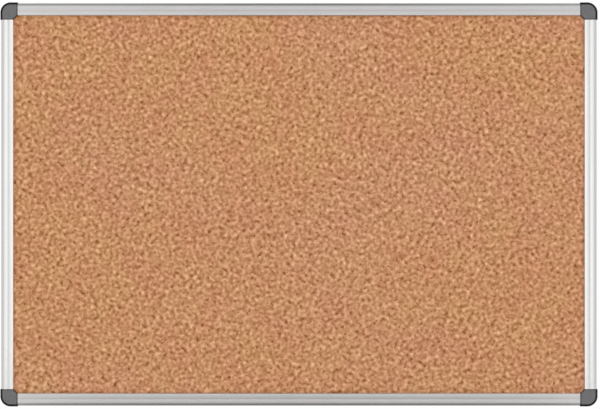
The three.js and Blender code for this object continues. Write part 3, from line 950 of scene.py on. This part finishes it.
def bracket_mesh():
    block = corner_block(
        "block", 0, RAIL_DEPTH, 0, BLOCK_SIZE, COVER_RADIUS - COVER_PROUD, BLOCK_NOSE,
        outer=CAVITY_ROUND, inner=0, soft=0.4)
    panel_cut = 2 * PANEL_INSET + PANEL_CHAMFER - PANEL_PLAY * math.sqrt(2)
    past, above = BLOCK_SIZE + OVERRUN, RAIL_DEPTH + OVERRUN
    notch = [(panel_cut - past, past), (past, panel_cut - past), (past, past)]
    recess = [
        (0, -OVERRUN), (WALL_HOLE_RADIUS, -OVERRUN), (WALL_HOLE_RADIUS, HEAD_SEAT_DEPTH),
        (HEAD_SEAT_RADIUS, RECESS_FLOOR), (HEAD_RECESS_RADIUS, RECESS_FLOOR),
        (HEAD_RECESS_RADIUS, above), (0, above)]
    socket = rod("socket", SOCKET_RADIUS, SOCKET_FLOOR, above, POST_ALONG, POST_ACROSS, sides=32)
    return worked(
        "bracket", block,
        ("DIFFERENCE", prism("notch", notch, RAIL_WALL, BEAD_FOOT)),
        *both_ways("UNION", tongue),
        ("DIFFERENCE", turned("recess", recess, WALL_HOLE_AT, WALL_HOLE_AT, sides=64)),
        *both_ways("DIFFERENCE", socket))


bracket = smoothed("bracket", bracket_mesh(), edge=0.12)
for turn, corner in enumerate(CORNERS):
    mesh = bracket.copy()
    mesh.transform(to_corner(turn))
    piece(f"barbed_bracket_{corner}", mesh, bracket_nylon,
          "board", "bracket", f"corner_bracket_{corner}")
print("bracket:", triangles(bracket), "triangles each")

# %% [markdown]
# ## The screws
# Eight self-tapping screws hold the brackets, driven from the groove at the back of the rails.
# One screw is turned in code, with a row of rings for its thread, and given a cross recess of two
# tapered slots. A tree of Geometry Nodes then puts a copy on each of eight points and turns it by
# a random angle, because no two driven screws stop alike.

# %% One screw, drawn with its head at the back and its point towards the front
SCREW_SEAT, HEAD_FLAT, HEAD_DISH, HEAD_RIM, NECK_RADIUS = 0.05, 1.3, 0.03, 0.35, 1.15
SHOULDER_AT, SHOULDER_WIDTH, SHOULDER_HEIGHT = 1.385, 1.7, 1.0
THREADS, THREAD_START, THREAD_PITCH, THREAD_ROOT = 7, 0.5, 0.9, 1.12
THREAD = [(THREAD_ROOT, 0), (SCREW_RADIUS, 0.35), (SCREW_RADIUS, 0.45), (THREAD_ROOT, 0.8)]
POINT_RADIUS, POINT_LENGTH = 0.9, 1.0
SLOT_LEAD, SLOT_MOUTH, SLOT_DEPTH, SLOT_FLOOR = 0.1, (1.45, 0.3), 1.25, (0.58, 0.21)


def screw_profile(crown, seat, tip):
    """Radii and heights of the pan head, the neck, the thread's rings and the point."""
    shoulder = [
        (SHOULDER_AT + SHOULDER_WIDTH * x, crown + SHOULDER_HEIGHT * (1 + y))
        for x, y in arc(0, 0, 1, -math.pi / 2, -0.25, 4)[1:]]
    rim = [(SCREW_HEAD_RADIUS, seat - HEAD_RIM), (SCREW_HEAD_RADIUS, seat), (NECK_RADIUS, seat)]
    profile = [(0, crown), (HEAD_FLAT, crown + HEAD_DISH)] + shoulder + rim
    for ring in range(THREADS):
        start = seat + THREAD_START + ring * THREAD_PITCH
        profile += [(radius, start + rise) for radius, rise in THREAD]
    return profile + [(POINT_RADIUS, tip - POINT_LENGTH), (0, tip)]


def screw_mesh():
    seat, tip = GROOVE_DEPTH - SCREW_SEAT, GROOVE_DEPTH + SCREW_LENGTH
    crown = seat - SCREW_HEAD_HEIGHT
    body = turned("screw", screw_profile(crown, seat, tip), 0, 0, sides=24)
    slot = loft("slot", [
        [(x, y, z) for x, y in oblong(-reach, -half, reach, half)]
        for (reach, half), z in (
            (SLOT_MOUTH, crown - SLOT_LEAD), (SLOT_FLOOR, crown + SLOT_DEPTH))])
    return smoothed("screw", worked("screw", body, *both_ways("DIFFERENCE", slot)), angle=35)


screw = screw_mesh()
screw.transform(STAND)
print("screw:", triangles(screw), "triangles")

# %% A tree that sets a screw on each point
driving = GeometryTree("screws_on_points", {
    "Screw": "Object", "Seed": "Int", "Finish": "Material"})
one = driving.node("GeometryNodeObjectInfo", {}, {"Object": driving.input("Screw")}, "Geometry")
spin = driving.node("ShaderNodeCombineXYZ", {}, {"Y": driving.random(0.0, 2 * math.pi)})
driving.end(driving.node("GeometryNodeInstanceOnPoints", {}, {
    "Points": driving.input("Geometry"), "Instance": one, "Rotation": spin}))
print("driving tree:", len(driving.tree.nodes), "nodes")

# %% The eight screws, two beside each corner
places, screw_nodes = [], []
for turn, corner in enumerate(CORNERS):
    for side, x, y in ((turn, SCREW_ALONG, SCREW_ACROSS), (turn - 1, SCREW_ACROSS, SCREW_ALONG)):
        places.append(to_corner(turn) @ Vector((x, y, 0)))
        screw_nodes.append(f"screw_{corner}_{SIDES[side]}_rail")
model = held("screw_model", screw)
screws = driving.run(
    "bracket_screws", mesh_of("screw_places", places, []),
    Screw=model, Seed=4, Finish=zinc_plated_steel)
bpy.data.objects.remove(model)
piece("bracket_screws", screws, zinc_plated_steel, "board", "steel", *screw_nodes)
print("screws:", len(places), "with", triangles(screws), "triangles")

# %% [markdown]
# ## The cork sheet
# Pressed and sanded cork is flat, but not as flat as glass. A grid with three-millimetre cells is
# lowered here and there by up to an eighth of a millimetre, which is enough for a raking light to
# find. Its corners are cut off like the panel's, and its edge and back are closed. When the finish
# is baked to a picture, a map that lays the whole front flat spends the picture on what is seen.

# %% The cork sheet's cut corners and closed back
def cut_corners(shape, half_x, half_y):
    for side_x in (-1, 1):
        for side_y in (-1, 1):
            on_cut = (side_x * (half_x - PANEL_CHAMFER), side_y * half_y, CORK_FRONT)
            everything = list(shape.verts) + list(shape.edges) + list(shape.faces)
            bmesh.ops.bisect_plane(
                shape, geom=everything, dist=WELD, plane_co=on_cut,
                plane_no=(side_x, side_y, 0), clear_outer=True)


def close_back(shape):
    rim = [edge for edge in shape.edges if edge.is_boundary]
    made = bmesh.ops.extrude_edge_only(shape, edges=rim)["geom"]
    for vertex in (v for v in made if isinstance(v, bmesh.types.BMVert)):
        vertex.co.z = CORK_BACK
    back_rim = [e for e in made if isinstance(e, bmesh.types.BMEdge) and e.is_boundary]
    bmesh.ops.contextual_create(shape, geom=back_rim)


print("corners cut by", PANEL_CHAMFER, "mm, the back", CORK_THICKNESS, "mm behind the front")

# %% A map that lays a front flat
def unrolled_flat(mesh):
    """A UV map that lays the whole front on one square, x across and z up."""
    place = np.empty(3 * len(mesh.vertices), dtype=np.float32)
    mesh.vertices.foreach_get("co", place)
    corner_of = np.empty(len(mesh.loops), dtype=np.int32)
    mesh.loops.foreach_get("vertex_index", corner_of)
    flat = place.reshape(-1, 3)[:, (0, 2)]
    low, high = flat.min(axis=0), flat.max(axis=0)
    layer = mesh.uv_layers.new(name="OFBake")
    layer.uv.foreach_set("vector", ((flat - low) / (high - low))[corner_of].ravel())


print("a front can be laid flat on a square, x across and z up")

# %% The cork sheet, with its waviness
SHEET_CELL, SWELL, DIMPLE, DIMPLE_SHARE = 3.0, 14.0, 5.0, 0.6
MEAN_DROP, DROP_SWING, MOST_DROP = 0.05, 0.06, 0.12


def cork_sheet_mesh():
    half_x, half_y = FRAME_WIDTH / 2 - PANEL_INSET, FRAME_HEIGHT / 2 - PANEL_INSET
    across, up = round(2 * half_x / SHEET_CELL), round(2 * half_y / SHEET_CELL)
    shape = bmesh.new()
    bmesh.ops.create_grid(shape, x_segments=across, y_segments=up, size=1)
    for vertex in shape.verts:
        vertex.co = Vector((vertex.co.x * half_x, vertex.co.y * half_y, CORK_FRONT))
    cut_corners(shape, half_x, half_y)
    for vertex in shape.verts:
        wave = noise.noise(vertex.co / SWELL) + DIMPLE_SHARE * noise.noise(vertex.co / DIMPLE)
        vertex.co.z -= min(max(MEAN_DROP + DROP_SWING * wave, 0.0), MOST_DROP)
    close_back(shape)
    bmesh.ops.recalc_face_normals(shape, faces=shape.faces)
    mesh = bpy.data.meshes.new("cork_sheet")
    shape.to_mesh(mesh)
    shape.free()
    return mesh


sheet = cork_sheet_mesh()
sheet.shade_smooth()
sheet.set_sharp_from_angle(angle=math.radians(40))
sheet.transform(STAND)
unrolled_flat(sheet)
piece("pressed_cork", sheet, cork, "board", "cork", "cork_sheet")
print("cork sheet:", triangles(sheet), "triangles")

# %% [markdown]
# ## The granules
# The sheet's front is a pavement of granules, each with a tone of its own, a hair higher or lower
# than the next, and with a thin seam of binder round it. They repeat by the thousand, so Geometry
# Nodes make them. A grid of triangles is shaken at random and turned into its dual, which swaps
# corners and faces and so makes irregular cells. Each cell shrinks a little to open the seam, is
# raised by a random height, and keeps a random number called grain, which the finish reads.

# %% A tree that paves a rectangle with granules
paving = GeometryTree("granules", {
    "Width": "Float", "Height": "Float", "Across": "Int", "Up": "Int", "Shake": "Float",
    "Seam": "Float", "Lowest": "Float", "Highest": "Float", "Seed": "Int", "Finish": "Material"})
grid = paving.node("GeometryNodeMeshGrid", {}, {
    "Size X": paving.input("Width"), "Size Y": paving.input("Height"),
    "Vertices X": paving.input("Across"), "Vertices Y": paving.input("Up")})
laced = paving.node("GeometryNodeTriangulate", {}, {"Mesh": grid})
shake = paving.input("Shake")
aside = paving.node("ShaderNodeCombineXYZ", {}, {
    "X": paving.random(0 - shake, shake, 1), "Y": paving.random(0 - shake, shake, 2)})
shaken = paving.node("GeometryNodeSetPosition", {}, {"Geometry": laced, "Offset": aside})
cells = paving.node("GeometryNodeDualMesh", {}, {"Mesh": shaken})
parted = paving.node("GeometryNodeSplitEdges", {}, {"Mesh": cells})
drawn_off = paving.node("GeometryNodeScaleElements", {"domain": "FACE"}, {
    "Geometry": parted, "Scale": 1 - paving.input("Seam")})
toned = paving.node("GeometryNodeStoreNamedAttribute", {"data_type": "FLOAT", "domain": "FACE"}, {
    "Geometry": drawn_off, "Name": "grain", "Value": paving.random(-1.0, 1.0, 3)})
rise = paving.random(paving.input("Lowest"), paving.input("Highest"), 4)
paving.end(paving.node("GeometryNodeExtrudeMesh", {"mode": "FACES"}, {
    "Mesh": toned, "Individual": True, "Offset Scale": rise}))
print("paving tree:", len(paving.tree.nodes), "nodes")

# %% The granules over the part of the sheet that shows
GRANULE, UNDER_LIP, GRANULE_ROOT = 6.6, 0.6, 0.22
show_x, show_y = (reach - 2 * (RAIL_FACE - UNDER_LIP) for reach in (FRAME_WIDTH, FRAME_HEIGHT))
granules = paving.run(
    "cork_granules", bpy.data.meshes.new("start"),
    Width=show_x + GRANULE, Height=show_y + GRANULE,
    Across=round(show_x / GRANULE) + 2, Up=round(show_y / GRANULE) + 2,
    Shake=0.42 * GRANULE, Seam=0.03, Lowest=0.14, Highest=0.3, Seed=11, Finish=cork)
granules.transform(STAND @ Matrix.Translation((0, 0, CORK_FRONT - GRANULE_ROOT)))
unrolled_flat(granules)
piece("cork_granules", granules, cork, "board", "cork")
print("granules:", triangles(granules), "triangles")

# %% [markdown]
# ## The panel's hidden layers
# The fibreboard and the backing are flat boards with cut corners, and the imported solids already
# have that shape. They keep it and only take their finish.

# %% Finishes for the solids that stay
for name, material in (("core_board", soft_board), ("backing_sheet", backing_paper)):
    nodes[name].data.materials.clear()
    nodes[name].data.materials.append(material)
    print(name, "in", material.name)

# %% [markdown]
# ## Floor, light and camera
# The board is lit as in a plain studio. A white surround gives most of the light from all sides,
# and one soft lamp in front gives it a direction. The lamp is tall and narrow, so that the ribs of
# the upright rails show it as light and dark bands. Two grey cards are seen only by reflections: a
# long one high above the board, and a short one just below it. They draw the dark lines along the
# rounded outer edges of the level rails, and grow paler towards the board's sides, where those
# lines are fainter. The floor is pale and lies below the board, which hangs on its wall.

# %% The floor, and the paper that it shares with the cards
FLOOR_RADIUS, FLOOR_BELOW = 4.0, 0.7  # metres, as all of the stage is


def grey(level):
    return shade(level, level, level)


def staged(name, outline, height, paper, dark, pale, tone):
    """A level face beside the board, in a dull paper that `tone` takes from dark to pale."""
    mesh = mesh_of(name, [(x, y, height) for x, y in outline], [tuple(range(len(outline)))])
    finish = Finish(paper, Roughness=0.9, Specular_IOR_Level=0.1)
    mesh.materials.append(
        finish.feed(Base_Color=finish.mix(tone(finish), grey(dark), grey(pale))))
    obj = held(name, mesh)
    return obj


def cloudy(finish):
    return finish.noise(finish.place(), 90)


ring = arc(0, 0, FLOOR_RADIUS, 0, 2 * math.pi, 96)[:-1]
level = cad_box[0][2] - FLOOR_BELOW
staged("floor", ring, level, "floor_paper", dark=0.84, pale=0.88, tone=cloudy)
print("floor", FLOOR_BELOW, "m below the board")

# %% The two cards, seen only by reflections
BEHIND_WALL = 0.05
FADE_STARTS, FADE_ENDS = 60, 430  # millimetres to either side of the board's middle


def outwards(finish):
    """From 0 in front of the board's middle to 1 at its sides."""
    return finish.ramp(abs(finish.axis(finish.place(), "X")), FADE_STARTS, FADE_ENDS)


def card(name, height, near, far, reach, dark, pale):
    """A card that reaches out from the wall, `near` and `far` half its width at its two ends."""
    outline = [(-near, BEHIND_WALL), (near, BEHIND_WALL), (far, -reach), (-far, -reach)]
    obj = staged(name, outline, height, f"{name}_grey", dark, pale, outwards)
    obj.visible_camera = obj.visible_diffuse = False
    obj.visible_shadow = obj.visible_transmission = False


card("upper_card", height=0.7, near=0.65, far=0.3, reach=3.1, dark=0.13, pale=0.46)
card("lower_card", height=-0.385, near=0.45, far=0.3, reach=1.35, dark=0.34, pale=0.4)
print("cards: one above the board, one below it")

# %% The surround: white to the eye and in reflections, softer as light
SOFT_STRENGTH = 0.89
world = bpy.data.worlds.new("studio")
bpy.context.scene.world = world
world.use_nodes = True
surround = Graph(world.node_tree)
surround.tree.nodes.clear()
camera_ray, glossy_ray, transmission_ray = (
    surround.node("ShaderNodeLightPath", output=f"Is {kind} Ray")
    for kind in ("Camera", "Glossy", "Transmission"))
seen = surround.node("ShaderNodeMath", {"operation": "ADD", "use_clamp": True}, {
    0: camera_ray + glossy_ray, 1: transmission_ray})
soft_white, full_white = (
    surround.node("ShaderNodeBackground", {}, {"Color": grey(1), "Strength": strength})
    for strength in (SOFT_STRENGTH, 1.0))
blend = surround.node("ShaderNodeMixShader", {}, {0: seen, 1: soft_white, 2: full_white})
surround.node("ShaderNodeOutputWorld", {}, {"Surface": blend}, None)
print("surround: white, and", SOFT_STRENGTH, "of it as light")

# %% The lamp, tall and narrow
lamp_data = bpy.data.lights.new("soft_lamp", "AREA")
lamp_data.shape, lamp_data.size, lamp_data.size_y = "RECTANGLE", 1.8, 4.5
lamp_data.energy = 21.0
lamp = held("soft_lamp", lamp_data)
lamp.location = (-0.06, -3.4, 0.3)
lamp.rotation_euler = (-lamp.location).to_track_quat("-Z", "Y").to_euler()
print("lamp at", [round(v, 2) for v in lamp.location])

# %% The camera, square on with a long lens
PICTURE_WIDTH, BOARD_IN_PICTURE = 600, 597.45  # pixels
SHIFT_RIGHT, SHIFT_UP = 1.05, -0.1  # pixels, from the board's middle to the picture's
FACE_DEPTH = 0.0138  # metres from the wall, where the board fills that width
MM_PER_PIXEL = BOARD_WIDTH / BOARD_IN_PICTURE
camera_data = bpy.data.cameras.new("camera")
camera_data.sensor_width, camera_data.lens, camera_data.clip_end = 36.0, 200.0, 50
distance = PICTURE_WIDTH * MM_PER_PIXEL / camera_data.sensor_width * camera_data.lens * MM
right, up = SHIFT_RIGHT * MM_PER_PIXEL * MM, SHIFT_UP * MM_PER_PIXEL * MM
camera = held("camera", camera_data)
camera.location = (right, -FACE_DEPTH - distance, up)
camera.rotation_euler = (math.pi / 2, 0, 0)
bpy.context.scene.camera = camera
bpy.context.scene.view_settings.view_transform = "Standard"
print("camera", round(distance, 3), "m in front of the board's face")
